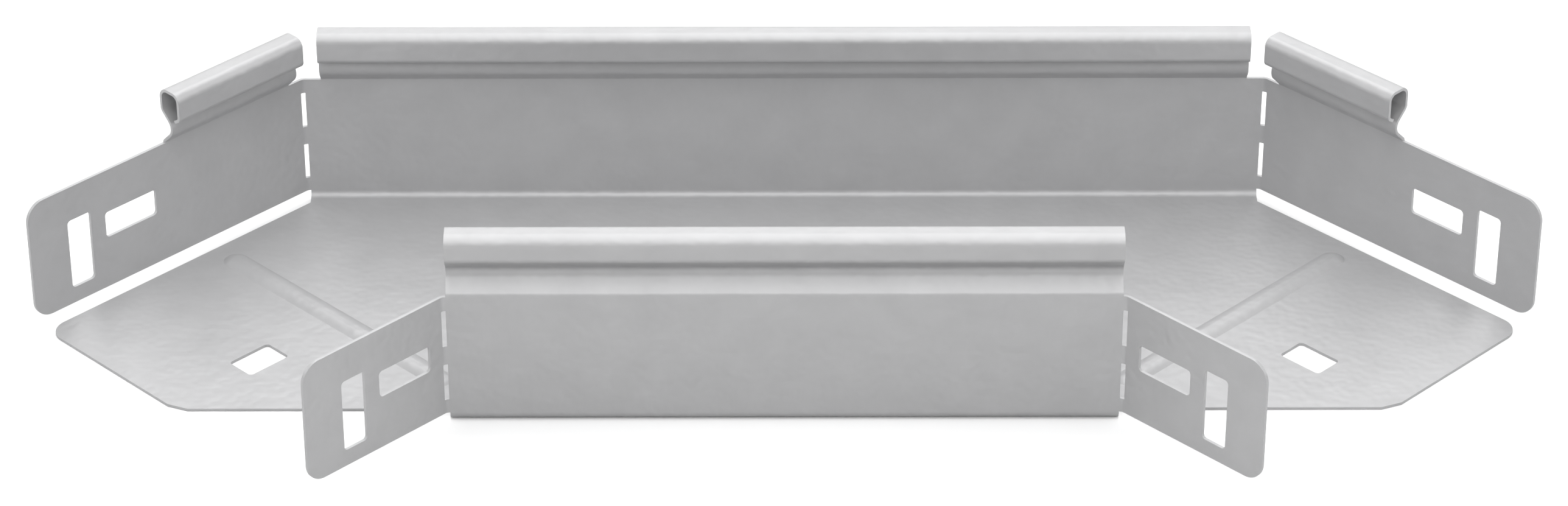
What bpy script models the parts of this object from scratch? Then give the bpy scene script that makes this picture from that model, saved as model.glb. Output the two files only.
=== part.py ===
"""Flat 90 degree bend for a cable tray, cut and folded from one steel sheet.

The middle of the bend runs across and each end is turned by half the bend. The sheet is
cut as a flat blank, its stiffening beads are pressed, and then its walls, their rolled
edges and their turned ends are folded up along straight lines, as on a folding press.
X runs along the middle, Y from the short inner wall to the long outer wall, Z up.
"""

import math

import bmesh
import bpy
from mathutils import Vector

# Sheet and folds
SHEET = 0.0008
FOLD_RADIUS = 0.0016
CORNER_RADIUS = 0.0016
TURN = math.radians(45.0)

# Plan sizes, between the two faces that look towards the inside of the bend
MIDDLE_WIDTH = 0.1020
LEG_WIDTH = 0.1011
INNER_HALF_LENGTH = 0.0800
OUTER_WING_PROUD = 0.0007

# Heights above the underside
HEIGHT = 0.0506

# Rolled edge, measured on the middle of the sheet
ROLL_WIDTH = 0.0065
BACK_DEPTH = 0.0058
NECK_LEAN = 0.0046
NECK_ANGLE = math.radians(45.0)
CHEEK_DEPTH = 0.0067
LIP_LENGTH = 0.0020
LIP_ANGLE = math.radians(30.0)
FOOT_BEND = 0.0009
NECK_BEND = 0.0029
SHOULDER_BEND = 0.0019
OUTER_TOP_BEND = 0.0024
INNER_TOP_BEND = 0.0019
LIP_BEND = 0.0013
ROLL_STOP_ON_OUTER_WALL = 0.0047
WING_ROLL_START = 0.0044
WING_ROLL_END = 0.0441

# Slits that free the wings from the floor
SLIT_BESIDE_OUTER_WING = 0.0029
SLIT_BESIDE_INNER_WALL = 0.0042

# Rounded ends
WING_END_RADIUS = 0.0050
FLOOR_CORNER_RADIUS = 0.0052
FLOOR_CHAMFER = 0.0029

# Bolt slots in each wing: a level one by the corner of the bend, then an upright one
SLOT_WIDTH = 0.0070
LEVEL_SLOT_LENGTH = 0.0158
LEVEL_SLOT_ABOVE_MIDDLE = 0.0011
UPRIGHT_SLOT_ABOVE_BOTTOM = 0.0043
UPRIGHT_SLOT_BELOW_TOP = 0.0092
SLOT_FROM_INNER_CORNER = 0.0046
SLOT_SPACING = 0.0044
OUTER_SLOT_END_MARGIN = 0.0116
INNER_SLOT_END_MARGIN = 0.0113
SLOT_CORNER_RADIUS = 0.0010

# Two narrow slots, one above the other, that weaken each upright fold
FOLD_SLOT_WIDTH = 0.0014
FOLD_SLOT_ABOVE_BOTTOM = 0.0038
FOLD_SLOT_SPACING = 0.0051
FOLD_SLOT_BELOW_TOP = 0.0039

# Hole in the floor of each leg
HOLE_LENGTH = 0.0120
HOLE_WIDTH = 0.0080
HOLE_FROM_END = 0.0280
HOLE_FROM_OUTER_WING = 0.0497
HOLE_CORNER_RADIUS = 0.0010

# Pressed bead across the floor of each leg
BEAD_WIDTH = 0.0074
BEAD_HEIGHT = 0.0010
BEAD_FROM_HOLE = 0.0250
BEAD_OUTER_END = 0.0075
BEAD_INNER_END = 0.0100
BEAD_RINGS = 8

# How finely arcs are rounded, and what counts as flat, as sharp and as one point
BEND_STEP = math.radians(11.25)
OUTLINE_STEP = math.radians(15.0)
FLAT_ANGLE = math.radians(0.5)
SHARP_ANGLE = math.radians(30.0)
SAME_POINT = 0.0000001

STEEL_COLOUR = (0.56, 0.57, 0.58, 1.0)
STEEL_ROUGHNESS = 0.42
PART_NAME = "tray_bend"
COLLECTION_NAME = "cable_tray_bend"

LEG_DIRECTION = Vector((math.cos(TURN), -math.sin(TURN)))
LEG_INWARD = Vector((-math.sin(TURN), -math.cos(TURN)))

# Corners of the bend on the hollow face of each wall, right half
OUTER_HALF_LENGTH = INNER_HALF_LENGTH + (LEG_WIDTH - MIDDLE_WIDTH * math.cos(TURN)) / math.sin(TURN)
OUTER_CORNER = Vector((OUTER_HALF_LENGTH, MIDDLE_WIDTH))
INNER_CORNER = Vector((INNER_HALF_LENGTH, 0.0))
INNER_SETBACK = (INNER_CORNER - OUTER_CORNER).dot(LEG_DIRECTION)

# Lengths of the legs and their wings, from the corners of the bend
SLOTS_LENGTH = LEVEL_SLOT_LENGTH + SLOT_SPACING + SLOT_WIDTH
INNER_WING = SLOT_FROM_INNER_CORNER + SLOTS_LENGTH + INNER_SLOT_END_MARGIN
LEG_REACH = INNER_SETBACK + INNER_WING
OUTER_WING = LEG_REACH + OUTER_WING_PROUD

# The slits are cut where the floor's fold ends, so the wings start there
WING_BOTTOM = SHEET + FOLD_RADIUS

# Heights on the middle of the sheet: its top, the crest of the neck and the foot of the neck
TOP = HEIGHT - SHEET / 2.0
NECK_RISE = NECK_LEAN / math.tan(NECK_ANGLE)
NECK_CREST = TOP - BACK_DEPTH - NECK_RISE
NECK_FOOT = NECK_CREST - NECK_RISE
WALL_TOP = NECK_FOOT - FOOT_BEND * math.tan(NECK_ANGLE / 2.0)


def clear_scene():
    """Remove every object that the file opens with."""
    for item in list(bpy.data.objects):
        bpy.data.objects.remove(item, do_unlink=True)


def without_repeats(points, closed):
    """The same path without points that repeat the one before them."""
    kept = points[:1]
    for point in points[1:]:
        if (point - kept[-1]).length > SAME_POINT:
            kept.append(point)
    if closed and (kept[0] - kept[-1]).length < SAME_POINT:
        kept.pop()
    return kept


def rounded(corners, step, closed):
    """Points of a path whose corners, given as (point, radius), are replaced by arcs."""
    points = []
    for index, (corner, radius) in enumerate(corners):
        is_end = not closed and index in (0, len(corners) - 1)
        if is_end or radius <= 0.0:
            points.append(corner.copy())
            continue
        before = (corners[index - 1][0] - corner).normalized()
        after = (corners[(index + 1) % len(corners)][0] - corner).normalized()
        half_angle = before.angle(after) / 2.0
        turn = math.pi - 2.0 * half_angle
        tangent = radius / math.tan(half_angle)
        centre = corner + (before + after).normalized() * radius / math.sin(half_angle)
        start = corner + before * tangent - centre
        end = corner + after * tangent - centre
        count = max(1, round(turn / step))
        for k in range(count + 1):
            share = k / count
            blend = start * math.sin((1.0 - share) * turn) + end * math.sin(share * turn)
            points.append(centre + blend / math.sin(turn))
    return without_repeats(points, closed)


class FoldPath:
    """A folded line of the sheet, and how far along the flat blank each point lies."""

    def __init__(self, points, start):
        self.points = points
        self.stations = [start]
        for a, b in zip(points, points[1:]):
            self.stations.append(self.stations[-1] + (b - a).length)

    def place(self, station):
        """Point at a station, and the direction of the path there."""
        last = len(self.points) - 2
        index = 0
        while index < last and station > self.stations[index + 1]:
            index += 1
        run = self.points[index + 1] - self.points[index]
        share = (station - self.stations[index]) / run.length
        return self.points[index] + run * share, run.normalized()


def wall_section():
    """Middle of the sheet from the floor, up a wall and round its rolled edge, as (inset, height)."""
    middle = SHEET / 2.0
    fold = FOLD_RADIUS + middle
    lip_corner = Vector((ROLL_WIDTH, TOP - CHEEK_DEPTH))
    lip = Vector((-math.cos(LIP_ANGLE), -math.sin(LIP_ANGLE))) * LIP_LENGTH
    corners = [
        (Vector((2.0 * fold, middle)), 0.0),
        (Vector((0.0, middle)), fold),
        (Vector((0.0, NECK_FOOT)), FOOT_BEND),
        (Vector((NECK_LEAN, NECK_CREST)), NECK_BEND),
        (Vector((0.0, TOP - BACK_DEPTH)), SHOULDER_BEND),
        (Vector((0.0, TOP)), OUTER_TOP_BEND),
        (Vector((ROLL_WIDTH, TOP)), INNER_TOP_BEND),
        (lip_corner, LIP_BEND),
        (lip_corner + lip, 0.0),
    ]
    return FoldPath(rounded(corners, BEND_STEP, False)[1:], 0.0)


class Wall:
    """One wall: its section, its line in plan, and where both lie on the flat blank."""

    def __init__(self, corner, wing_length, slot_margin, side):
        self.corner = corner
        self.wing_length = wing_length
        self.slot_margin = slot_margin
        # +1 for the outer wall, which unfolds towards +Y on the blank, -1 for the inner wall
        self.side = side
        self.section = wall_section()
        self.foot = next(k for k, point in enumerate(self.section.points) if point.x < SAME_POINT)
        middle = SHEET / 2.0
        line = corner.y + middle
        self.fold_line = line - side * (FOLD_RADIUS + middle)
        turning_point = Vector((corner.x + middle * math.tan(TURN / 2.0), line))
        past_the_wing = turning_point + LEG_DIRECTION * wing_length * 2.0
        path = [
            (Vector((0.0, line)), 0.0),
            (turning_point, CORNER_RADIUS + middle),
            (past_the_wing, 0.0),
        ]
        self.plan = FoldPath(rounded(path, BEND_STEP, False), 0.0)
        self.tangent = CORNER_RADIUS * math.tan(TURN / 2.0)

    def across(self, station):
        """Blank Y of a station of the section."""
        return self.fold_line + self.side * station

    def up(self, height):
        """Blank Y of a height on the flat part of the wall."""
        above_fold = height - self.section.points[self.foot].y
        return self.across(self.section.stations[self.foot] + above_fold)

    def tip(self):
        """Blank Y of the free end of the rolled edge."""
        return self.across(self.section.stations[-1])

    def along(self, distance):
        """Blank X of a distance along the wing, from the corner on the hollow face."""
        return self.plan.stations[-2] + distance - self.tangent

    def fold_start(self):
        """Blank X where the upright fold starts."""
        return self.plan.stations[1]

    def fold_middle(self):
        """Blank X of the middle of the upright fold."""
        return (self.fold_start() + self.plan.stations[-2]) / 2.0

    def holds(self, y):
        """Whether blank Y lies on this wall, past its fold line."""
        return (y - self.fold_line) * self.side > SAME_POINT

    def folded(self, x, y):
        """Place of a blank point once the wall is folded up, rolled and turned."""
        inset_height, _ = self.section.place((y - self.fold_line) * self.side)
        point, direction = self.plan.place(x)
        inward = Vector((direction.y, -direction.x)) * self.side
        point = point + inward * inset_height.x
        return Vector((point.x, point.y, inset_height.y))


OUTER_WALL = Wall(OUTER_CORNER, OUTER_WING, OUTER_SLOT_END_MARGIN, 1.0)
INNER_WALL = Wall(INNER_CORNER, INNER_WING, INNER_SLOT_END_MARGIN, -1.0)


def on_leg(reach, inset):
    """Blank point on a leg's floor, from the outer corner along the leg and in from its outer wing."""
    return OUTER_CORNER + LEG_DIRECTION * reach + LEG_INWARD * inset


def wing_outline(wall):
    """Corners of a wing from its bottom at the upright fold, round its end, to its top."""
    end = wall.along(wall.wing_length)
    bottom = wall.up(WING_BOTTOM)
    top = wall.up(WALL_TOP)
    return [
        (Vector((wall.fold_start(), bottom)), 0.0),
        (Vector((end, bottom)), WING_END_RADIUS),
        (Vector((end, top)), WING_END_RADIUS),
    ]


def roll_outline(wall, start, end):
    """Corners of a length of rolled edge on the blank, between two blank X values."""
    top = wall.up(WALL_TOP)
    tip = wall.tip()
    return [
        (Vector((start, top)), 0.0),
        (Vector((start, tip)), 0.0),
        (Vector((end, tip)), 0.0),
        (Vector((end, top)), 0.0),
    ]


def blank_outline():
    """Corners of the right half of the flat blank, from the inner wall's roll round to the outer wall's."""
    outer_roll = OUTER_WALL.corner.x - ROLL_STOP_ON_OUTER_WALL
    end_point = on_leg(LEG_REACH, 0.0)
    down_to_front = (end_point.y - SLIT_BESIDE_INNER_WALL) / -LEG_INWARD.y
    front_corner = on_leg(LEG_REACH, down_to_front)
    chamfer_on_end = front_corner - LEG_INWARD * FLOOR_CHAMFER
    chamfer_on_front = front_corner - Vector((FLOOR_CHAMFER, 0.0))
    slit_start = on_leg(0.0, SLIT_BESIDE_OUTER_WING)
    to_slit = (OUTER_WALL.fold_start() - slit_start.x) / LEG_DIRECTION.x
    outline = roll_outline(INNER_WALL, 0.0, INNER_WALL.fold_start())[1:]
    outline += list(reversed(wing_outline(INNER_WALL)))
    outline += [
        (Vector((INNER_WALL.fold_start(), SLIT_BESIDE_INNER_WALL)), 0.0),
        (chamfer_on_front, 0.0),
        (chamfer_on_end, 0.0),
        (on_leg(LEG_REACH, SLIT_BESIDE_OUTER_WING), FLOOR_CORNER_RADIUS),
        (slit_start + LEG_DIRECTION * to_slit, 0.0),
    ]
    outline += wing_outline(OUTER_WALL)
    outline += roll_outline(OUTER_WALL, OUTER_WALL.along(WING_ROLL_END), OUTER_WALL.along(WING_ROLL_START))
    outline += roll_outline(OUTER_WALL, outer_roll, 0.0)[:-1]
    return outline


def rounded_rectangle(centre, half_length, half_width, direction, radius):
    """Corners of a rectangle with its length along a direction."""
    along = direction * half_length
    across = Vector((-direction.y, direction.x)) * half_width
    return [
        (centre - along - across, radius),
        (centre + along - across, radius),
        (centre + along + across, radius),
        (centre - along + across, radius),
    ]


def wall_slot(wall, x, width, bottom, top, radius):
    """Slot in a wall or wing, upright on its middle X, between two heights."""
    centre = Vector((x, wall.up((bottom + top) / 2.0)))
    return rounded_rectangle(centre, width / 2.0, (top - bottom) / 2.0, Vector((1.0, 0.0)), radius)


def bolt_slots(wall):
    """Upright and level slot of a wing."""
    slots_end = wall.along(wall.wing_length - wall.slot_margin)
    upright_x = slots_end - SLOT_WIDTH / 2.0
    upright_bottom = WING_BOTTOM + UPRIGHT_SLOT_ABOVE_BOTTOM
    upright_top = WALL_TOP - UPRIGHT_SLOT_BELOW_TOP
    level_x = slots_end - SLOTS_LENGTH + LEVEL_SLOT_LENGTH / 2.0
    level_bottom = (WING_BOTTOM + WALL_TOP - SLOT_WIDTH) / 2.0 + LEVEL_SLOT_ABOVE_MIDDLE
    level_top = level_bottom + SLOT_WIDTH
    return [
        wall_slot(wall, upright_x, SLOT_WIDTH, upright_bottom, upright_top, SLOT_CORNER_RADIUS),
        wall_slot(wall, level_x, LEVEL_SLOT_LENGTH, level_bottom, level_top, SLOT_CORNER_RADIUS),
    ]


def fold_slots(wall):
    """Lower and upper narrow slot in the upright fold of a wall."""
    x = wall.fold_middle()
    bottom = WING_BOTTOM + FOLD_SLOT_ABOVE_BOTTOM
    top = WALL_TOP - FOLD_SLOT_BELOW_TOP
    lower_end = (bottom + top - FOLD_SLOT_SPACING) / 2.0
    upper_start = lower_end + FOLD_SLOT_SPACING
    return [
        wall_slot(wall, x, FOLD_SLOT_WIDTH, bottom, lower_end, 0.0),
        wall_slot(wall, x, FOLD_SLOT_WIDTH, upper_start, top, 0.0),
    ]


def floor_hole():
    """Rectangular hole in the floor of the leg."""
    centre = on_leg(LEG_REACH - HOLE_FROM_END, HOLE_FROM_OUTER_WING)
    return rounded_rectangle(centre, HOLE_LENGTH / 2.0, HOLE_WIDTH / 2.0, LEG_DIRECTION, HOLE_CORNER_RADIUS)


def bead_ends():
    """Centres of the two round ends of the bead."""
    half = BEAD_WIDTH / 2.0
    reach = LEG_REACH - HOLE_FROM_END - BEAD_FROM_HOLE
    outer_end = on_leg(reach, BEAD_OUTER_END + half)
    inner_end = on_leg(reach, LEG_WIDTH - BEAD_INNER_END - half)
    return outer_end, inner_end


def bead_outline():
    """Foot of the bead, a slot with round ends."""
    outer_end, inner_end = bead_ends()
    half = BEAD_WIDTH / 2.0
    centre = (outer_end + inner_end) / 2.0
    half_length = (outer_end - inner_end).length / 2.0 + half
    return rounded_rectangle(centre, half_length, half, LEG_INWARD, half)


def nearest_on_bead(point):
    """Point of the bead's middle line that lies nearest to a point."""
    outer_end, inner_end = bead_ends()
    line = inner_end - outer_end
    share = (point - outer_end).dot(line) / line.length_squared
    return outer_end + line * min(max(share, 0.0), 1.0)


def merge_flat_faces(sheet):
    """Join faces that lie in one plane, and drop points that turn no edge."""
    bmesh.ops.dissolve_limit(sheet, angle_limit=FLAT_ANGLE, verts=sheet.verts, edges=sheet.edges)


def filled_blank():
    """Flat right half of the blank, filled between its outline and its holes."""
    curve = bpy.data.curves.new("blank_outline", "CURVE")
    curve.dimensions = "2D"
    curve.fill_mode = "BOTH"
    loops = [blank_outline(), floor_hole(), bead_outline()]
    for wall in (OUTER_WALL, INNER_WALL):
        loops += bolt_slots(wall) + fold_slots(wall)
    for corners in loops:
        points = rounded(corners, OUTLINE_STEP, True)
        spline = curve.splines.new("POLY")
        spline.points.add(len(points) - 1)
        for target, point in zip(spline.points, points):
            target.co = (point.x, point.y, 0.0, 1.0)
        spline.use_cyclic_u = True
    outline = bpy.data.objects.new("blank_outline", curve)
    bpy.context.scene.collection.objects.link(outline)
    graph = bpy.context.evaluated_depsgraph_get()
    mesh = bpy.data.meshes.new_from_object(outline.evaluated_get(graph))
    bpy.data.objects.remove(outline, do_unlink=True)
    blank = bmesh.new()
    blank.from_mesh(mesh)
    bpy.data.meshes.remove(mesh)
    bmesh.ops.remove_doubles(blank, verts=blank.verts, dist=SAME_POINT)
    # The fill leaves long thin triangles, which would spoil the folds and the sheet's thickness
    bmesh.ops.beautify_fill(blank, faces=blank.faces, edges=blank.edges, method="AREA")
    merge_flat_faces(blank)
    return blank


def press_bead(blank):
    """Draw the floor up into the bead, ring by ring, from its foot to its crest."""
    half = BEAD_WIDTH / 2.0
    slack = half / 100.0
    ring = []
    for edge in blank.edges:
        offsets = [(vert.co.xy - nearest_on_bead(vert.co.xy)).length - half for vert in edge.verts]
        if edge.is_boundary and all(abs(offset) < slack for offset in offsets):
            ring.append(edge)
    for step in range(1, BEAD_RINGS):
        share = 1.0 - step / BEAD_RINGS
        drawn = bmesh.ops.extrude_edge_only(blank, edges=ring)["geom"]
        for vert in (item for item in drawn if isinstance(item, bmesh.types.BMVert)):
            middle = nearest_on_bead(vert.co.xy)
            flat = middle + (vert.co.xy - middle).normalized() * half * share
            vert.co = (flat.x, flat.y, BEAD_HEIGHT * (1.0 + math.cos(math.pi * share)) / 2.0)
        ring = [item for item in drawn if isinstance(item, bmesh.types.BMEdge)]
    bmesh.ops.edgeloop_fill(blank, edges=ring)


def score(blank, faces, position, axis):
    """Cut a bend line across some faces of the blank."""
    geometry = list({item for face in faces for item in (*face.verts, *face.edges, face)})
    bmesh.ops.bisect_plane(blank, geom=geometry, dist=SAME_POINT, plane_co=position, plane_no=axis)


def wall_faces(blank, wall):
    """Faces of the blank that belong to a wall."""
    return [face for face in blank.faces if wall.holds(face.calc_center_median().y)]


def score_bend_lines(blank):
    """Cut every bend line of both walls: their folds and rolls, then their upright folds."""
    for wall in (OUTER_WALL, INNER_WALL):
        score(blank, blank.faces, (0.0, wall.fold_line, 0.0), (0.0, 1.0, 0.0))
        for station in wall.section.stations[1:-1]:
            score(blank, wall_faces(blank, wall), (0.0, wall.across(station), 0.0), (0.0, 1.0, 0.0))
        for station in wall.plan.stations[1:-1]:
            score(blank, wall_faces(blank, wall), (station, 0.0, 0.0), (1.0, 0.0, 0.0))


def fold_blank(blank):
    """Move each point of the blank to where the folds carry it, with the underside at zero."""
    depth_middle = (MIDDLE_WIDTH + SHEET - INNER_WING * math.sin(TURN)) / 2.0
    for vert in blank.verts:
        x, y = vert.co.xy
        wall = next((wall for wall in (OUTER_WALL, INNER_WALL) if wall.holds(y)), None)
        if wall:
            vert.co = wall.folded(x, y)
        else:
            vert.co.z += SHEET / 2.0
        vert.co.y -= depth_middle


def steel():
    """Bare zinc-coated steel."""
    material = bpy.data.materials.new("galvanised_steel")
    material.use_nodes = True
    shader = material.node_tree.nodes["Principled BSDF"]
    shader.inputs["Base Color"].default_value = STEEL_COLOUR
    shader.inputs["Metallic"].default_value = 1.0
    shader.inputs["Roughness"].default_value = STEEL_ROUGHNESS
    return material


def build_tray_bend(collection):
    """Fold the blank, mirror it and give the sheet its thickness."""
    blank = filled_blank()
    press_bead(blank)
    score_bend_lines(blank)
    fold_blank(blank)
    merge_flat_faces(blank)
    bmesh.ops.recalc_face_normals(blank, faces=blank.faces)
    mesh = bpy.data.meshes.new(PART_NAME)
    blank.to_mesh(mesh)
    blank.free()
    half = bpy.data.objects.new(PART_NAME + "_half", mesh)
    collection.objects.link(half)

    mirror = half.modifiers.new("both_legs", "MIRROR")
    mirror.use_axis[0] = True
    mirror.use_clip = True
    mirror.merge_threshold = SAME_POINT
    thickness = half.modifiers.new("sheet_thickness", "SOLIDIFY")
    thickness.thickness = SHEET
    thickness.offset = 0.0
    thickness.use_even_offset = True
    thickness.use_quality_normals = True

    graph = bpy.context.evaluated_depsgraph_get()
    folded = bpy.data.meshes.new_from_object(half.evaluated_get(graph))
    folded.name = PART_NAME
    bpy.data.objects.remove(half, do_unlink=True)
    bpy.data.meshes.remove(mesh)
    folded.shade_smooth()
    folded.set_sharp_from_angle(angle=SHARP_ANGLE)
    folded.materials.append(steel())
    part = bpy.data.objects.new(PART_NAME, folded)
    collection.objects.link(part)
    return part


def main():
    clear_scene()
    collection = bpy.data.collections.new(COLLECTION_NAME)
    bpy.context.scene.collection.children.link(collection)
    build_tray_bend(collection)


main()
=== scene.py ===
"""Looks of a cable tray bend: one folded sheet of galvanised steel on a pale studio floor.

The file is laid out as an add-on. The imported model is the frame. The sheet is cut, pressed and
folded here once more from the same sizes, with finer bends and rounded cut edges, and stands
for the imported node. X runs along the middle of the bend, Y from the short inner wall to the
long outer wall, Z up, in metres.
"""

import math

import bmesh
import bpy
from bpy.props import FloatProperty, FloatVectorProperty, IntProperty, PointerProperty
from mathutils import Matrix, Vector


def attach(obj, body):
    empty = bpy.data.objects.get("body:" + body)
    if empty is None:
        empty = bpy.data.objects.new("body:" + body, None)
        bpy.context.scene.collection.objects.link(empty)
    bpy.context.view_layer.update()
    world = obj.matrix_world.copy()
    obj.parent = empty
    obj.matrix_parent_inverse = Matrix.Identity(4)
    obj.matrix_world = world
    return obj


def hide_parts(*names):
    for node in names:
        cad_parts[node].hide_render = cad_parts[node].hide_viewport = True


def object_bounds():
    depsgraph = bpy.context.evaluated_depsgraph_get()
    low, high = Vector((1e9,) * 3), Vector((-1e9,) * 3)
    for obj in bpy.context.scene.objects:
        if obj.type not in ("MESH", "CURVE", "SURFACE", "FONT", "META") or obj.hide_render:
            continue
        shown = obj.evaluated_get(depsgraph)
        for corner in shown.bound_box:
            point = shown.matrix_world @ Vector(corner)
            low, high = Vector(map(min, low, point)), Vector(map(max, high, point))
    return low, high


bl_info = {
    "name": "Cable Tray Bend",
    "version": (1, 0, 0),
    "blender": (4, 5, 0),
    "location": "3D View > Sidebar > Tray Bend",
    "description": "Cut and fold a cable tray bend in galvanised steel and light it in a studio",
    "category": "Object",
}

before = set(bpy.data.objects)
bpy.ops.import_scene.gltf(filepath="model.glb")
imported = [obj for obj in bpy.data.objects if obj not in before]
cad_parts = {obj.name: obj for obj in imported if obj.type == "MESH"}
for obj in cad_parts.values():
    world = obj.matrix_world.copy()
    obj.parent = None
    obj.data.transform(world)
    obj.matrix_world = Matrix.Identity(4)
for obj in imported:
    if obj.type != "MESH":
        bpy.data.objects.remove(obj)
CAD_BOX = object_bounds()

NODE = "tray_bend"
MM = 0.001
SAME_POINT = 0.0001 * MM
FLAT_ANGLE = math.radians(0.5)
CUT_ANGLE = math.radians(60.0)
SHADING_ANGLE = math.radians(40.0)


def linear_colour(hex_code):
    """Linear RGB of an sRGB hex colour such as "B9BCBE"."""
    channels = []
    for start in (0, 2, 4):
        value = int(hex_code[start:start + 2], 16) / 255.0
        channels.append(value / 12.92 if value <= 0.04045 else ((value + 0.055) / 1.055) ** 2.4)
    return tuple(channels)


def length(name, millimetres, description):
    """Length setting, with its default in millimetres."""
    return FloatProperty(
        name=name,
        description=description,
        default=millimetres * MM,
        min=0.0,
        unit="LENGTH",
        precision=5,
    )


def angle(name, degrees, description):
    """Angle setting, with its default in degrees."""
    return FloatProperty(
        name=name,
        description=description,
        default=math.radians(degrees),
        min=0.0,
        unit="ROTATION",
    )


class TraySizes(bpy.types.PropertyGroup):
    """Sizes that the blank is cut to and folded by."""

    sheet: length("Sheet", 0.8, "Thickness of the steel")
    fold_radius: length("Fold radius", 1.6, "Inner radius of the folds between floor and walls")
    corner_radius: length("Corner radius", 1.6, "Inner radius of the upright folds")
    turn: angle("Turn", 45.0, "Angle between the middle of the bend and each leg")

    middle_width: length("Middle width", 102.0, "Inside width across the middle of the bend")
    leg_width: length("Leg width", 101.1, "Inside width across a leg")
    inner_half_length: length("Inner half length", 80.0, "Half the length of the inner wall")
    outer_wing_proud: length("Outer wing proud", 0.7, "How far the outer wing passes the inner one")
    height: length("Height", 50.6, "Height of the walls with their rolled edges")

    roll_width: length("Roll width", 6.5, "Width of the rolled edge")
    back_depth: length("Back depth", 5.8, "Depth of the upright back of the rolled edge")
    neck_lean: length("Neck lean", 4.6, "How far the neck leans into the trough")
    neck_angle: angle("Neck angle", 45.0, "Slope of the neck")
    cheek_depth: length("Cheek depth", 6.7, "Depth of the rolled edge on the trough's side")
    lip_length: length("Lip length", 2.0, "Length of the lip that closes the rolled edge")
    lip_angle: angle("Lip angle", 30.0, "Slope of the lip")
    foot_bend: length("Foot bend", 0.9, "Radius at the foot of the neck")
    neck_bend: length("Neck bend", 2.9, "Radius at the crest of the neck")
    shoulder_bend: length("Shoulder bend", 1.9, "Radius at the shoulder of the rolled edge")
    outer_top_bend: length("Outer top bend", 2.4, "Radius at the outer side of the rolled edge's top")
    inner_top_bend: length("Inner top bend", 1.9, "Radius at the inner side of the rolled edge's top")
    lip_bend: length("Lip bend", 1.3, "Radius above the lip")
    outer_roll_stop: length("Outer roll stop", 4.7, "Wall beyond the outer wall's rolled edge")
    wing_roll_start: length("Wing roll start", 4.4, "Start of the outer wing's rolled edge")
    wing_roll_end: length("Wing roll end", 44.1, "End of the outer wing's rolled edge")

    outer_slit: length("Outer slit", 2.9, "Floor cut away beside an outer wing")
    inner_slit: length("Inner slit", 4.2, "Floor cut away in front of the inner wall's line")
    wing_end_radius: length("Wing end radius", 5.0, "Radius of the wings' ends")
    floor_corner_radius: length("Floor corner radius", 5.2, "Radius of the floor's outer corners")
    floor_chamfer: length("Floor chamfer", 2.9, "Chamfer of the floor's inner corners")

    slot_width: length("Slot width", 7.0, "Width of the bolt slots")
    level_slot_length: length("Level slot length", 15.8, "Length of the level slots")
    level_slot_rise: length("Level slot rise", 1.1, "Level slots above the middle of the wing")
    upright_slot_bottom: length("Upright slot bottom", 4.3, "Wing below the upright slots")
    upright_slot_top: length("Upright slot top", 9.2, "Wing above the upright slots")
    slot_from_corner: length("Slot from corner", 4.6, "Inner corner to the first slot")
    slot_spacing: length("Slot spacing", 4.4, "Steel between the two slots of a wing")
    outer_slot_margin: length("Outer slot margin", 11.6, "Outer wing beyond its slots")
    inner_slot_margin: length("Inner slot margin", 11.3, "Inner wing beyond its slots")
    slot_corner_radius: length("Slot corner radius", 1.0, "Radius of the slots' corners")

    fold_slot_width: length("Fold slot width", 1.4, "Width of the narrow slots in the upright folds")
    fold_slot_bottom: length("Fold slot bottom", 3.8, "Fold below the lower narrow slot")
    fold_slot_spacing: length("Fold slot spacing", 5.1, "Steel between the narrow slots")
    fold_slot_top: length("Fold slot top", 3.9, "Fold above the upper narrow slot")

    hole_length: length("Hole length", 12.0, "Length of the hole in the floor")
    hole_width: length("Hole width", 8.0, "Width of the hole in the floor")
    hole_from_end: length("Hole from end", 28.0, "End of the leg to the middle of the hole")
    hole_from_wing: length("Hole from wing", 49.7, "Outer wing to the middle of the hole")
    hole_corner_radius: length("Hole corner radius", 1.0, "Radius of the hole's corners")

    bead_width: length("Bead width", 7.4, "Width of the pressed bead")
    bead_height: length("Bead height", 1.0, "Height of the pressed bead")
    bead_slope: angle("Bead slope", 33.0, "Slope of the bead's sides")
    bead_crown: length("Bead crown", 5.2, "Radius of the bead's round top")
    bead_foot_bend: length("Bead foot bend", 0.8, "Radius at the foot of the bead")
    bead_from_hole: length("Bead from hole", 25.0, "Middle of the hole to the bead")
    bead_outer_end: length("Bead outer end", 7.5, "Outer wing to the bead")
    bead_inner_end: length("Bead inner end", 10.0, "Bead to the line of the inner wing")


class TrayFineness(bpy.types.PropertyGroup):
    """How finely round shapes are divided."""

    bend_step: angle("Bend step", 5.625, "Turn of each flat in a bend")
    outline_step: angle("Outline step", 7.5, "Turn of each edge of a rounded cut")
    edge_rings: IntProperty(
        name="Edge rings",
        description="Flats round each cut edge",
        default=3,
        min=1,
        max=6,
    )


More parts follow.
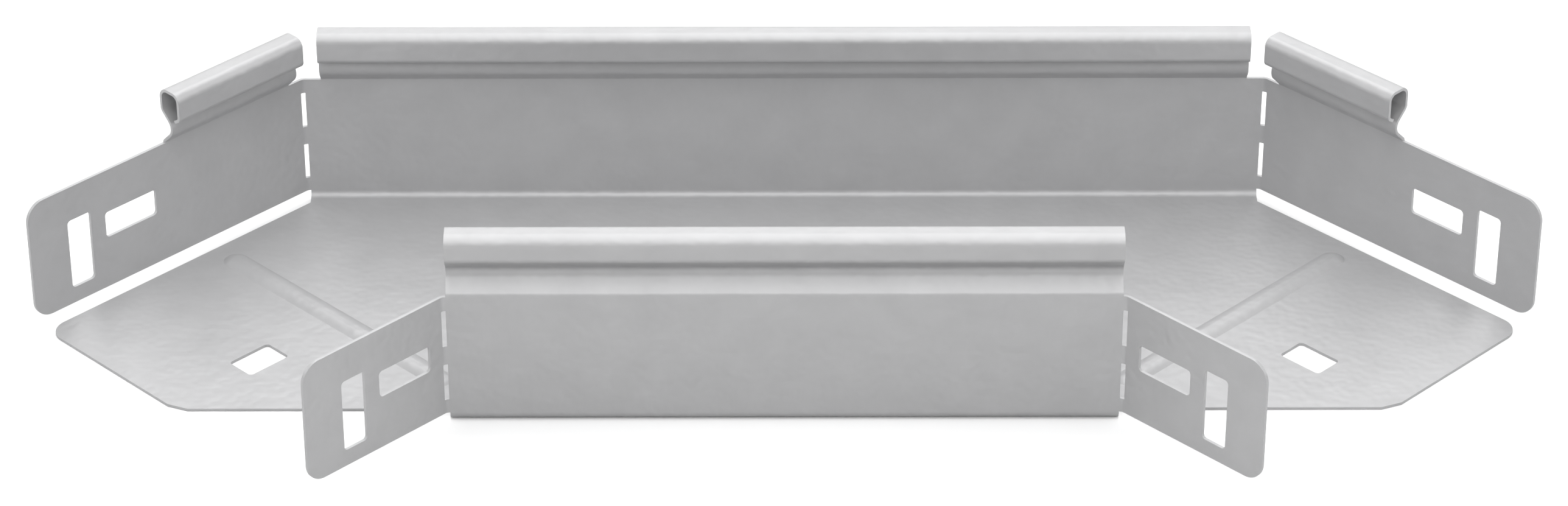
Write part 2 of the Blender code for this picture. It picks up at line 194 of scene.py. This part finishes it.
class SheetFinish(bpy.types.PropertyGroup):
    """Edges and zinc of the galvanised sheet."""

    # It stays under 0.068 mm, because the bend lines pass that close to the fold slots
    edge_rounding: length("Edge rounding", 0.06, "Radius that the zinc leaves on every cut edge")
    light_zinc: FloatVectorProperty(
        name="Light zinc",
        description="Colour of the zinc where it has set brightest",
        default=linear_colour("BEBEBF"),
        min=0.0,
        max=1.0,
        subtype="COLOR",
    )
    dull_zinc: FloatVectorProperty(
        name="Dull zinc",
        description="Colour of the zinc where it has set dullest",
        default=linear_colour("B3B3B4"),
        min=0.0,
        max=1.0,
        subtype="COLOR",
    )
    roughness: FloatProperty(
        name="Roughness",
        description="How far the zinc spreads a reflection",
        default=0.5,
        min=0.0,
        max=1.0,
        subtype="FACTOR",
    )
    ripple_size: length("Ripple size", 2.0, "Distance between the soft ripples of the zinc")
    ripple_height: length("Ripple height", 0.13, "Deepest to highest ripple of the zinc")


class StudioSetup(bpy.types.PropertyGroup):
    """Floor, lamps and camera around the bend."""

    floor_colour: FloatVectorProperty(
        name="Floor colour",
        description="Colour of the floor",
        default=linear_colour("FEFEFE"),
        min=0.0,
        max=1.0,
        subtype="COLOR",
    )
    bounce_colour: FloatVectorProperty(
        name="Bounce colour",
        description="Colour of the floor in the light that it throws back",
        default=linear_colour("888888"),
        min=0.0,
        max=1.0,
        subtype="COLOR",
    )
    world_strength: FloatProperty(
        name="Room light",
        description="Strength of the even light from all round",
        default=0.12,
        min=0.0,
        max=4.0,
    )
    lamp_power: FloatProperty(
        name="Overhead lamp",
        description="Power of the wide lamp above the bend",
        default=26.0,
        min=0.0,
        max=500.0,
        unit="POWER",
    )
    front_power: FloatProperty(
        name="Front lamp",
        description="Power of the soft lamp in front",
        default=8.0,
        min=0.0,
        max=500.0,
        unit="POWER",
    )
    back_power: FloatProperty(
        name="Back lamp",
        description="Power of the soft lamp behind",
        default=9.0,
        min=0.0,
        max=500.0,
        unit="POWER",
    )
    side_power: FloatProperty(
        name="Side lamps",
        description="Power of each of the soft lamps at the sides",
        default=9.0,
        min=0.0,
        max=500.0,
        unit="POWER",
    )
    camera_lens: FloatProperty(
        name="Lens",
        description="Focal length of the camera",
        default=114.98,
        min=20.0,
        max=300.0,
        unit="CAMERA",
    )


def add_node(tree, kind, inputs=None, **settings):
    """Add a shader node, set its properties, and set or link its inputs."""
    node = tree.nodes.new(kind)
    for name, value in settings.items():
        setattr(node, name, value)
    for name, value in (inputs or {}).items():
        socket = node.inputs[name]
        if isinstance(value, bpy.types.NodeSocket):
            tree.links.new(value, socket)
        else:
            socket.default_value = value
    return node


def empty_material(name):
    """New node material with nothing in it."""
    material = bpy.data.materials.new(name)
    material.use_nodes = True
    material.node_tree.nodes.clear()
    return material


def opaque(colour):
    """The colour with full alpha, as a colour socket takes it."""
    return (*colour[:3], 1.0)


def galvanised_steel(finish):
    """Steel strip coated in molten zinc and rolled.

    It gives the eye an even light grey sheen with wide soft reflections, broken by shallow
    ripples a few millimetres apart where the zinc set, and a faint change of tone over
    about a centimetre.
    """
    material = empty_material("galvanised_steel_zinc")
    tree = material.node_tree
    place = add_node(tree, "ShaderNodeTexCoord").outputs["Object"]
    # Noise cells of scale 1 are a metre apart
    cloud_size = 9.0 * MM
    ripples = add_node(
        tree, "ShaderNodeTexNoise",
        {"Vector": place, "Scale": 1.0 / finish.ripple_size, "Detail": 0.0},
    )
    clouds = add_node(
        tree, "ShaderNodeTexNoise",
        {"Vector": place, "Scale": 1.0 / cloud_size, "Detail": 3.0, "Roughness": 0.5},
    )
    colour = add_node(
        tree, "ShaderNodeMix",
        {0: clouds.outputs["Fac"], 6: opaque(finish.dull_zinc), 7: opaque(finish.light_zinc)},
        data_type="RGBA",
    )
    relief = add_node(
        tree, "ShaderNodeBump",
        {"Height": ripples.outputs["Fac"], "Strength": 1.0, "Distance": finish.ripple_height},
    )
    shader = add_node(
        tree, "ShaderNodeBsdfPrincipled",
        {
            "Base Color": colour.outputs[2],
            "Metallic": 0.35,
            "Roughness": finish.roughness,
            "Normal": relief.outputs["Normal"],
        },
    )
    add_node(tree, "ShaderNodeOutputMaterial", {"Surface": shader.outputs["BSDF"]})
    return material


def without_repeats(points, closed):
    """The same path without points that repeat the one before them."""
    kept = points[:1]
    for point in points[1:]:
        if (point - kept[-1]).length > SAME_POINT:
            kept.append(point)
    if closed and (kept[0] - kept[-1]).length < SAME_POINT:
        kept.pop()
    return kept


def rounded(corners, step, closed):
    """Points of a path whose corners, given as (point, radius), are replaced by arcs."""
    points = []
    for index, (corner, radius) in enumerate(corners):
        is_end = not closed and index in (0, len(corners) - 1)
        if is_end or radius <= 0.0:
            points.append(corner.copy())
            continue
        before = (corners[index - 1][0] - corner).normalized()
        after = (corners[(index + 1) % len(corners)][0] - corner).normalized()
        half_angle = before.angle(after) / 2.0
        turn = math.pi - 2.0 * half_angle
        tangent = radius / math.tan(half_angle)
        centre = corner + (before + after).normalized() * radius / math.sin(half_angle)
        start = corner + before * tangent - centre
        end = corner + after * tangent - centre
        count = max(1, round(turn / step))
        for k in range(count + 1):
            share = k / count
            blend = start * math.sin((1.0 - share) * turn) + end * math.sin(share * turn)
            points.append(centre + blend / math.sin(turn))
    return without_repeats(points, closed)


def stations_along(points):
    """How far along a path each of its points lies."""
    stations = [0.0]
    for a, b in zip(points, points[1:]):
        stations.append(stations[-1] + (b - a).length)
    return stations


def turns_along(points):
    """Turn of a path at each of its inner points, clockwise."""
    runs = [b - a for a, b in zip(points, points[1:])]
    return [a.angle_signed(b) for a, b in zip(runs, runs[1:])]


class Wall:
    """One wall on the flat blank: its bend lines and how far each of them turns."""

    def __init__(self, bend, corner, wing_length, slot_margin, side):
        sizes = bend.sizes
        self.corner = corner
        self.wing_length = wing_length
        self.slot_margin = slot_margin
        # +1 for the outer wall, which unfolds towards +Y on the blank, -1 for the inner wall
        self.side = side
        middle = sizes.sheet / 2.0
        section = bend.wall_section()
        self.section_turns = turns_along(section)
        section = section[1:]
        self.section_stations = stations_along(section)
        foot = next(k for k, point in enumerate(section) if point.x < SAME_POINT)
        self.foot_station = self.section_stations[foot]
        self.foot_height = section[foot].y
        self.line = corner.y + middle
        self.fold_line = self.line - side * (sizes.fold_radius + middle)
        half_turn = math.tan(sizes.turn / 2.0)
        turning_point = Vector((corner.x + middle * half_turn, self.line))
        path = [
            (Vector((0.0, self.line)), 0.0),
            (turning_point, sizes.corner_radius + middle),
            (turning_point + bend.leg_direction * wing_length * 2.0, 0.0),
        ]
        plan = rounded(path, bend.fineness.bend_step, False)
        self.plan_stations = stations_along(plan)
        self.plan_turns = turns_along(plan)
        self.tangent = sizes.corner_radius * half_turn

    def across(self, station):
        """Blank Y of a station of the section."""
        return self.fold_line + self.side * station

    def up(self, height):
        """Blank Y of a height on the flat part of the wall."""
        return self.across(self.foot_station + height - self.foot_height)

    def tip(self):
        """Blank Y of the free end of the rolled edge."""
        return self.across(self.section_stations[-1])

    def along(self, distance):
        """Blank X of a distance along the wing, from the corner on the hollow face."""
        return self.plan_stations[-2] + distance - self.tangent

    def fold_start(self):
        """Blank X where the upright fold starts."""
        return self.plan_stations[1]

    def fold_middle(self):
        """Blank X of the middle of the upright fold."""
        return (self.fold_start() + self.plan_stations[-2]) / 2.0

    def holds(self, y):
        """Whether blank Y lies on this wall, past its fold line."""
        return (y - self.fold_line) * self.side > SAME_POINT


class Bend:
    """The right half of the bend: its sizes, and the corners and heights that follow from them."""

    def __init__(self, sizes, fineness):
        self.sizes = sizes
        self.fineness = fineness
        self.leg_direction = Vector((math.cos(sizes.turn), -math.sin(sizes.turn)))
        self.leg_inward = Vector((-math.sin(sizes.turn), -math.cos(sizes.turn)))

        # Corners of the bend on the hollow face of each wall
        across_middle = sizes.middle_width * math.cos(sizes.turn)
        past_inner = (sizes.leg_width - across_middle) / math.sin(sizes.turn)
        outer_half_length = sizes.inner_half_length + past_inner
        self.outer_corner = Vector((outer_half_length, sizes.middle_width))
        self.inner_corner = Vector((sizes.inner_half_length, 0.0))

        # Lengths of the legs and their wings, from the corners of the bend
        self.slots_length = sizes.level_slot_length + sizes.slot_spacing + sizes.slot_width
        inner_wing = sizes.slot_from_corner + self.slots_length + sizes.inner_slot_margin
        between_corners = self.inner_corner - self.outer_corner
        self.leg_reach = between_corners.dot(self.leg_direction) + inner_wing
        outer_wing = self.leg_reach + sizes.outer_wing_proud
        wing_depth = inner_wing * math.sin(sizes.turn)
        self.depth_middle = (sizes.middle_width + sizes.sheet - wing_depth) / 2.0

        # Heights on the middle of the sheet: its top, then the crest and the foot of the neck
        self.top = sizes.height - sizes.sheet / 2.0
        neck_rise = sizes.neck_lean / math.tan(sizes.neck_angle)
        self.neck_crest = self.top - sizes.back_depth - neck_rise
        self.neck_foot = self.neck_crest - neck_rise
        self.wall_top = self.neck_foot - sizes.foot_bend * math.tan(sizes.neck_angle / 2.0)
        self.wing_bottom = sizes.sheet + sizes.fold_radius

        self.outer_wall = Wall(self, self.outer_corner, outer_wing, sizes.outer_slot_margin, 1.0)
        self.inner_wall = Wall(self, self.inner_corner, inner_wing, sizes.inner_slot_margin, -1.0)
        self.walls = (self.outer_wall, self.inner_wall)

    def wall_section(self):
        """Middle of the sheet, as (inset, height), from the floor up a wall and round its roll."""
        sizes = self.sizes
        middle = sizes.sheet / 2.0
        fold = sizes.fold_radius + middle
        lip_corner = Vector((sizes.roll_width, self.top - sizes.cheek_depth))
        lip = Vector((-math.cos(sizes.lip_angle), -math.sin(sizes.lip_angle))) * sizes.lip_length
        corners = [
            (Vector((2.0 * fold, middle)), 0.0),
            (Vector((0.0, middle)), fold),
            (Vector((0.0, self.neck_foot)), sizes.foot_bend),
            (Vector((sizes.neck_lean, self.neck_crest)), sizes.neck_bend),
            (Vector((0.0, self.top - sizes.back_depth)), sizes.shoulder_bend),
            (Vector((0.0, self.top)), sizes.outer_top_bend),
            (Vector((sizes.roll_width, self.top)), sizes.inner_top_bend),
            (lip_corner, sizes.lip_bend),
            (lip_corner + lip, 0.0),
        ]
        return rounded(corners, self.fineness.bend_step, False)

    def on_leg(self, reach, inset):
        """Blank point on a leg, from the outer corner along the leg and in from its wing."""
        return self.outer_corner + self.leg_direction * reach + self.leg_inward * inset

    def wing_outline(self, wall):
        """Corners of a wing from its bottom at the upright fold, round its end, to its top."""
        end = wall.along(wall.wing_length)
        bottom = wall.up(self.wing_bottom)
        top = wall.up(self.wall_top)
        return [
            (Vector((wall.fold_start(), bottom)), 0.0),
            (Vector((end, bottom)), self.sizes.wing_end_radius),
            (Vector((end, top)), self.sizes.wing_end_radius),
        ]

    def roll_outline(self, wall, start, end):
        """Corners of a length of rolled edge on the blank, between two blank X values."""
        top = wall.up(self.wall_top)
        tip = wall.tip()
        return [
            (Vector((start, top)), 0.0),
            (Vector((start, tip)), 0.0),
            (Vector((end, tip)), 0.0),
            (Vector((end, top)), 0.0),
        ]

    def blank_outline(self):
        """Corners of the flat blank, from the inner wall's roll round to the outer wall's."""
        sizes = self.sizes
        inner, outer = self.inner_wall, self.outer_wall
        end_point = self.on_leg(self.leg_reach, 0.0)
        down_to_front = (end_point.y - sizes.inner_slit) / -self.leg_inward.y
        front_corner = self.on_leg(self.leg_reach, down_to_front)
        slit_start = self.on_leg(0.0, sizes.outer_slit)
        to_slit = (outer.fold_start() - slit_start.x) / self.leg_direction.x
        outline = self.roll_outline(inner, 0.0, inner.fold_start())[1:]
        outline += list(reversed(self.wing_outline(inner)))
        outline += [
            (Vector((inner.fold_start(), sizes.inner_slit)), 0.0),
            (front_corner - Vector((sizes.floor_chamfer, 0.0)), 0.0),
            (front_corner - self.leg_inward * sizes.floor_chamfer, 0.0),
            (self.on_leg(self.leg_reach, sizes.outer_slit), sizes.floor_corner_radius),
            (slit_start + self.leg_direction * to_slit, 0.0),
        ]
        outline += self.wing_outline(outer)
        roll_start, roll_end = outer.along(sizes.wing_roll_start), outer.along(sizes.wing_roll_end)
        outline += self.roll_outline(outer, roll_end, roll_start)
        outline += self.roll_outline(outer, outer.corner.x - sizes.outer_roll_stop, 0.0)[:-1]
        return outline

    def bolt_slots(self, wall):
        """Upright and level slot of a wing."""
        sizes = self.sizes
        slots_end = wall.along(wall.wing_length - wall.slot_margin)
        upright_x = slots_end - sizes.slot_width / 2.0
        upright_bottom = self.wing_bottom + sizes.upright_slot_bottom
        upright_top = self.wall_top - sizes.upright_slot_top
        level_x = slots_end - self.slots_length + sizes.level_slot_length / 2.0
        level_middle = (self.wing_bottom + self.wall_top) / 2.0 + sizes.level_slot_rise
        level_bottom = level_middle - sizes.slot_width / 2.0
        level_top = level_middle + sizes.slot_width / 2.0
        radius = sizes.slot_corner_radius
        return [
            wall_slot(wall, upright_x, sizes.slot_width, upright_bottom, upright_top, radius),
            wall_slot(wall, level_x, sizes.level_slot_length, level_bottom, level_top, radius),
        ]

    def fold_slots(self, wall):
        """Lower and upper narrow slot in the upright fold of a wall."""
        sizes = self.sizes
        x = wall.fold_middle()
        bottom = self.wing_bottom + sizes.fold_slot_bottom
        top = self.wall_top - sizes.fold_slot_top
        lower_end = (bottom + top - sizes.fold_slot_spacing) / 2.0
        upper_start = lower_end + sizes.fold_slot_spacing
        return [
            wall_slot(wall, x, sizes.fold_slot_width, bottom, lower_end, 0.0),
            wall_slot(wall, x, sizes.fold_slot_width, upper_start, top, 0.0),
        ]

    def floor_hole(self):
        """Rectangular hole in the floor of the leg."""
        sizes = self.sizes
        centre = self.on_leg(self.leg_reach - sizes.hole_from_end, sizes.hole_from_wing)
        half_length, half_width = sizes.hole_length / 2.0, sizes.hole_width / 2.0
        return rounded_rectangle(
            centre, half_length, half_width, self.leg_direction, sizes.hole_corner_radius
        )

    def bead_ends(self):
        """Centres of the two round ends of the bead."""
        sizes = self.sizes
        half = sizes.bead_width / 2.0
        reach = self.leg_reach - sizes.hole_from_end - sizes.bead_from_hole
        outer_end = self.on_leg(reach, sizes.bead_outer_end + half)
        inner_end = self.on_leg(reach, sizes.leg_width - sizes.bead_inner_end - half)
        return outer_end, inner_end

    def bead_outline(self):
        """Foot of the bead, a slot with round ends."""
        outer_end, inner_end = self.bead_ends()
        half = self.sizes.bead_width / 2.0
        half_length = (outer_end - inner_end).length / 2.0 + half
        centre = (outer_end + inner_end) / 2.0
        return rounded_rectangle(centre, half_length, half, self.leg_inward, half)

    def bead_section(self):
        """Points from the bead's outline up to its crest, as (distance inwards, height)."""
        sizes = self.sizes
        half = sizes.bead_width / 2.0
        above_crest = sizes.bead_crown * (1.0 / math.cos(sizes.bead_slope) - 1.0)
        apex = sizes.bead_height + above_crest
        foot = apex / math.tan(sizes.bead_slope)
        corners = [
            (Vector((0.0, 0.0)), 0.0),
            (Vector((half - foot, 0.0)), sizes.bead_foot_bend),
            (Vector((half, apex)), sizes.bead_crown),
            (Vector((half + foot, 0.0)), sizes.bead_foot_bend),
            (Vector((2.0 * half, 0.0)), 0.0),
        ]
        section = rounded(corners, self.fineness.bend_step, False)
        return [point for point in section if point.x < half - SAME_POINT]

    def from_bead_line(self, point):
        """How far a blank point lies from the bead's middle line."""
        outer_end, inner_end = self.bead_ends()
        line = inner_end - outer_end
        share = (point - outer_end).dot(line) / line.length_squared
        return (point - outer_end - line * min(max(share, 0.0), 1.0)).length


def rounded_rectangle(centre, half_length, half_width, direction, radius):
    """Corners of a rectangle with its length along a direction."""
    along = direction * half_length
    across = Vector((-direction.y, direction.x)) * half_width
    return [
        (centre - along - across, radius),
        (centre + along - across, radius),
        (centre + along + across, radius),
        (centre - along + across, radius),
    ]


def wall_slot(wall, x, width, bottom, top, radius):
    """Slot in a wall or wing, upright on its middle X, between two heights."""
    centre = Vector((x, wall.up((bottom + top) / 2.0)))
    return rounded_rectangle(centre, width / 2.0, (top - bottom) / 2.0, Vector((1.0, 0.0)), radius)


def use_object(item):
    """Make one object the only selected one, and the active one."""
    bpy.ops.object.select_all(action="DESELECT")
    item.select_set(True)
    bpy.context.view_layer.objects.active = item


def select_only(kind, items):
    """In edit mode, select only some points, edges or faces."""
    bpy.ops.mesh.select_mode(type=kind)
    bpy.ops.mesh.select_all(action="DESELECT")
    for item in items:
        item.select_set(True)


def merge_flat_faces():
    """In edit mode, join faces that lie in one plane, and drop points that turn no edge."""
    bpy.ops.mesh.select_all(action="SELECT")
    bpy.ops.mesh.dissolve_limited(angle_limit=FLAT_ANGLE)


def cut_blank(bend):
    """Flat right half of the blank, cut along its outline and holes."""
    curve = bpy.data.curves.new("folded_sheet", "CURVE")
    curve.dimensions = "2D"
    curve.fill_mode = "BOTH"
    loops = [bend.blank_outline(), bend.floor_hole(), bend.bead_outline()]
    for wall in bend.walls:
        loops += bend.bolt_slots(wall) + bend.fold_slots(wall)
    for corners in loops:
        points = rounded(corners, bend.fineness.outline_step, True)
        spline = curve.splines.new("POLY")
        spline.points.add(len(points) - 1)
        for target, point in zip(spline.points, points):
            target.co = (point.x, point.y, 0.0, 1.0)
        spline.use_cyclic_u = True
    sheet = bpy.data.objects.new("folded_sheet", curve)
    bpy.context.scene.collection.objects.link(sheet)
    use_object(sheet)
    bpy.ops.object.convert(target="MESH")
    sheet = bpy.context.object
    bpy.ops.object.mode_set(mode="EDIT")
    bpy.ops.mesh.select_all(action="SELECT")
    bpy.ops.mesh.remove_doubles(threshold=SAME_POINT)
    # The fill leaves long thin triangles, which would spoil the folds and the sheet's thickness
    bpy.ops.mesh.beautify_fill(angle_limit=math.pi)
    merge_flat_faces()
    return sheet


def press_bead(sheet, bend):
    """Close the bead's outline and draw it up, ring by ring, from its foot to its crest."""
    half = bend.sizes.bead_width / 2.0
    shape = bmesh.from_edit_mesh(sheet.data)
    foot = []
    for edge in shape.edges:
        offsets = [bend.from_bead_line(vert.co.xy) - half for vert in edge.verts]
        if edge.is_boundary and all(abs(offset) < half / 100.0 for offset in offsets):
            foot.append(edge)
    select_only("EDGE", foot)
    bpy.ops.mesh.edge_face_add()
    bpy.ops.mesh.select_mode(type="FACE")
    section = bend.bead_section()
    for before, after in zip(section, section[1:]):
        step = after - before
        bpy.ops.mesh.inset(thickness=step.x, depth=step.y, use_even_offset=True)


def score_line(sheet, place, normal, wall=None):
    """Cut the flat sheet, or only one wall of it, along a line through a place."""
    shape = bmesh.from_edit_mesh(sheet.data)
    faces = list(shape.faces)
    if wall:
        faces = [face for face in faces if wall.holds(face.calc_center_median().y)]
    select_only("FACE", faces)
    bpy.ops.mesh.bisect(plane_co=place, plane_no=normal, threshold=SAME_POINT)


def score_bend_lines(sheet, bend):
    """Cut every bend line of both walls: their folds and rolls, then their upright folds."""
    for wall in bend.walls:
        score_line(sheet, (0.0, wall.fold_line, 0.0), (0.0, 1.0, 0.0))
        for station in wall.section_stations[1:-1]:
            score_line(sheet, (0.0, wall.across(station), 0.0), (0.0, 1.0, 0.0), wall)
        for station in wall.plan_stations[1:-1]:
            score_line(sheet, (station, 0.0, 0.0), (1.0, 0.0, 0.0), wall)


def turn_points(sheet, chosen, centre, axis, turn):
    """Turn the points with some indices about an axis through a centre."""
    shape = bmesh.from_edit_mesh(sheet.data)
    select_only("VERT", [vert for vert in shape.verts if vert.index in chosen])
    # With no window the operator turns the other way
    bpy.ops.transform.rotate(value=-turn, orient_axis=axis, center_override=centre)


def fold_up(sheet, bend):
    """Fold both walls along their bend lines, each time from the outermost line inwards."""
    shape = bmesh.from_edit_mesh(sheet.data)
    shape.verts.index_update()
    flat = [vert.co.xy for vert in shape.verts]
    for wall in bend.walls:
        outwards = list(zip(wall.section_stations, wall.section_turns))
        for station, turn in reversed(outwards):
            line = wall.across(station)
            beyond = {
                k for k, point in enumerate(flat)
                if (point.y - line) * wall.side > SAME_POINT
            }
            turn_points(sheet, beyond, (0.0, line, 0.0), "X", turn * wall.side)
        outwards = list(zip(wall.plan_stations[1:], wall.plan_turns))
        for station, turn in reversed(outwards):
            beyond = {
                k for k, point in enumerate(flat)
                if wall.holds(point.y) and point.x - station > SAME_POINT
            }
            turn_points(sheet, beyond, (station, wall.line, 0.0), "Z", -turn)
    bpy.ops.mesh.select_all(action="SELECT")
    bpy.ops.transform.translate(value=(0.0, -bend.depth_middle, bend.sizes.sheet / 2.0))
    merge_flat_faces()
    bpy.ops.mesh.select_all(action="SELECT")
    bpy.ops.mesh.normals_make_consistent(inside=False)
    bpy.ops.object.mode_set(mode="OBJECT")


def add_and_apply(item, kind, **settings):
    """Give an object a modifier and apply it."""
    modifier = item.modifiers.new(kind.lower(), kind)
    for name, value in settings.items():
        setattr(modifier, name, value)
    bpy.ops.object.modifier_apply(modifier=modifier.name)


def thicken(sheet, bend, finish):
    """Mirror the half, give the sheet its thickness and round every cut edge."""
    add_and_apply(sheet, "MIRROR", use_clip=True, merge_threshold=SAME_POINT)
    add_and_apply(
        sheet, "SOLIDIFY",
        thickness=bend.sizes.sheet, offset=0.0, use_even_offset=True, use_quality_normals=True,
    )
    add_and_apply(
        sheet, "BEVEL",
        width=finish.edge_rounding, segments=bend.fineness.edge_rings, limit_method="ANGLE",
        angle_limit=CUT_ANGLE, use_clamp_overlap=False, loop_slide=False,
    )
    bpy.ops.object.shade_smooth_by_angle(angle=SHADING_ANGLE)
    add_and_apply(sheet, "WEIGHTED_NORMAL", keep_sharp=True, weight=100)


class TRAYBEND_OT_folded_sheet(bpy.types.Operator):
    """Cut the blank, press its beads, fold it, round its cut edges and give it its zinc"""

    bl_idname = "traybend.folded_sheet"
    bl_label = "Folded sheet"

    def execute(self, context):
        scene = context.scene
        finish = scene.traybend_finish
        bend = Bend(scene.traybend_sizes, scene.traybend_fineness)
        sheet = cut_blank(bend)
        press_bead(sheet, bend)
        score_bend_lines(sheet, bend)
        fold_up(sheet, bend)
        thicken(sheet, bend, finish)
        sheet.data.materials.append(galvanised_steel(finish))
        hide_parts(NODE)
        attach(sheet, "root")
        return {"FINISHED"}


def studio_floor(studio):
    """Pale floor that the bend lies on."""
    bpy.ops.object.select_all(action="DESELECT")
    bpy.ops.mesh.primitive_plane_add(size=8.0, location=(0.0, 0.0, CAD_BOX[0][2]))
    floor = bpy.context.object
    floor.name = "studio_floor"
    material = empty_material("pale_floor_paint")
    tree = material.node_tree
    ray = add_node(tree, "ShaderNodeLightPath")
    seen_or_mirrored = add_node(
        tree, "ShaderNodeMath",
        {0: ray.outputs["Is Camera Ray"], 1: ray.outputs["Is Glossy Ray"]},
        operation="ADD",
    )
    seen = add_node(
        tree, "ShaderNodeMath",
        {0: seen_or_mirrored.outputs[0], 1: ray.outputs["Is Transmission Ray"]},
        operation="ADD",
        use_clamp=True,
    )
    colour = add_node(
        tree, "ShaderNodeMix",
        {0: seen.outputs[0], 6: opaque(studio.bounce_colour), 7: opaque(studio.floor_colour)},
        data_type="RGBA",
    )
    paint = add_node(
        tree, "ShaderNodeBsdfPrincipled",
        {"Base Color": colour.outputs[2], "Roughness": 0.9, "Specular IOR Level": 0.0},
    )
    add_node(tree, "ShaderNodeOutputMaterial", {"Surface": paint.outputs["BSDF"]})
    floor.data.materials.append(material)


def add_lamp(name, size, power, distance, elevation, azimuth):
    """Soft rectangular lamp aimed at the bend, placed by angles seen from it."""
    lamp = bpy.data.lights.new(name, "AREA")
    lamp.shape = "RECTANGLE"
    lamp.size, lamp.size_y = size
    lamp.energy = power
    holder = bpy.data.objects.new(name, lamp)
    holder.matrix_world = (
        Matrix.Rotation(math.radians(azimuth), 4, "Z")
        @ Matrix.Rotation(math.radians(90.0 - elevation), 4, "X")
        @ Matrix.Translation((0.0, 0.0, distance))
    )
    bpy.context.scene.collection.objects.link(holder)


def studio_light(studio):
    """Faint light from all round, a wide lamp above and a soft lamp on each of the four sides."""
    world = bpy.data.worlds.new("studio_room")
    world.use_nodes = True
    bpy.context.scene.world = world
    tree = world.node_tree
    tree.nodes.clear()
    room = add_node(
        tree, "ShaderNodeBackground",
        {"Color": (1.0, 1.0, 1.0, 1.0), "Strength": studio.world_strength},
    )
    add_node(tree, "ShaderNodeOutputWorld", {"Surface": room.outputs["Background"]})
    # Name, width and height in metres, power, distance in metres, elevation, azimuth
    lamps = (
        ("overhead_lamp", (1.0, 2.8), studio.lamp_power, 1.3, 90.0, 0.0),
        ("front_lamp", (1.9, 0.8), studio.front_power, 1.6, 32.0, 0.0),
        ("back_lamp", (2.2, 1.0), studio.back_power, 1.6, 28.0, 180.0),
        ("right_lamp", (1.9, 0.8), studio.side_power, 1.6, 27.0, 90.0),
        ("left_lamp", (1.9, 0.8), studio.side_power, 1.6, 27.0, -90.0),
    )
    for lamp in lamps:
        add_lamp(*lamp)


def studio_camera(studio):
    """Camera in front of the inner wall, looking down into the trough."""
    data = bpy.data.cameras.new("studio_camera")
    data.sensor_width = 36.0
    data.lens = studio.camera_lens
    data.clip_start = 0.05
    camera = bpy.data.objects.new("studio_camera", data)
    place = Vector((-0.00136, -1.02500, 0.66269))
    azimuth, downwards, roll = math.radians(-0.072), math.radians(31.914), math.radians(-0.039)
    camera.matrix_world = (
        Matrix.Translation(place)
        @ Matrix.Rotation(azimuth, 4, "Z")
        @ Matrix.Rotation(math.radians(90.0) - downwards, 4, "X")
        @ Matrix.Rotation(roll, 4, "Z")
    )
    bpy.context.scene.collection.objects.link(camera)
    bpy.context.scene.camera = camera


class TRAYBEND_OT_studio(bpy.types.Operator):
    """Set up the floor, the light and the camera"""

    bl_idname = "traybend.studio"
    bl_label = "Studio"

    def execute(self, context):
        studio = context.scene.traybend_studio
        studio_floor(studio)
        studio_light(studio)
        studio_camera(studio)
        context.scene.view_settings.view_transform = "Standard"
        return {"FINISHED"}


SETTINGS = {
    "traybend_sizes": TraySizes,
    "traybend_fineness": TrayFineness,
    "traybend_finish": SheetFinish,
    "traybend_studio": StudioSetup,
}
STEPS = (TRAYBEND_OT_folded_sheet, TRAYBEND_OT_studio)


class TRAYBEND_PT_sidebar(bpy.types.Panel):
    """Settings of the bend and its studio, and the steps that make them"""

    bl_idname = "TRAYBEND_PT_sidebar"
    bl_label = "Cable tray bend"
    bl_space_type = "VIEW_3D"
    bl_region_type = "UI"
    bl_category = "Tray Bend"

    def draw(self, context):
        for step in STEPS:
            self.layout.operator(step.bl_idname)
        for group in SETTINGS:
            settings = getattr(context.scene, group)
            column = self.layout.column(heading=settings.bl_rna.description)
            for name in settings.__annotations__:
                column.prop(settings, name)


CLASSES = (*SETTINGS.values(), *STEPS, TRAYBEND_PT_sidebar)


def register():
    """Add the classes, and the settings that scenes carry."""
    for item in CLASSES:
        bpy.utils.register_class(item)
    for group, item in SETTINGS.items():
        setattr(bpy.types.Scene, group, PointerProperty(type=item))


def unregister():
    """Take the settings and the classes away again."""
    for group in SETTINGS:
        delattr(bpy.types.Scene, group)
    for item in reversed(CLASSES):
        bpy.utils.unregister_class(item)


def main():
    register()
    bpy.ops.traybend.folded_sheet()
    bpy.ops.traybend.studio()


if __name__ == "__main__":
    main()
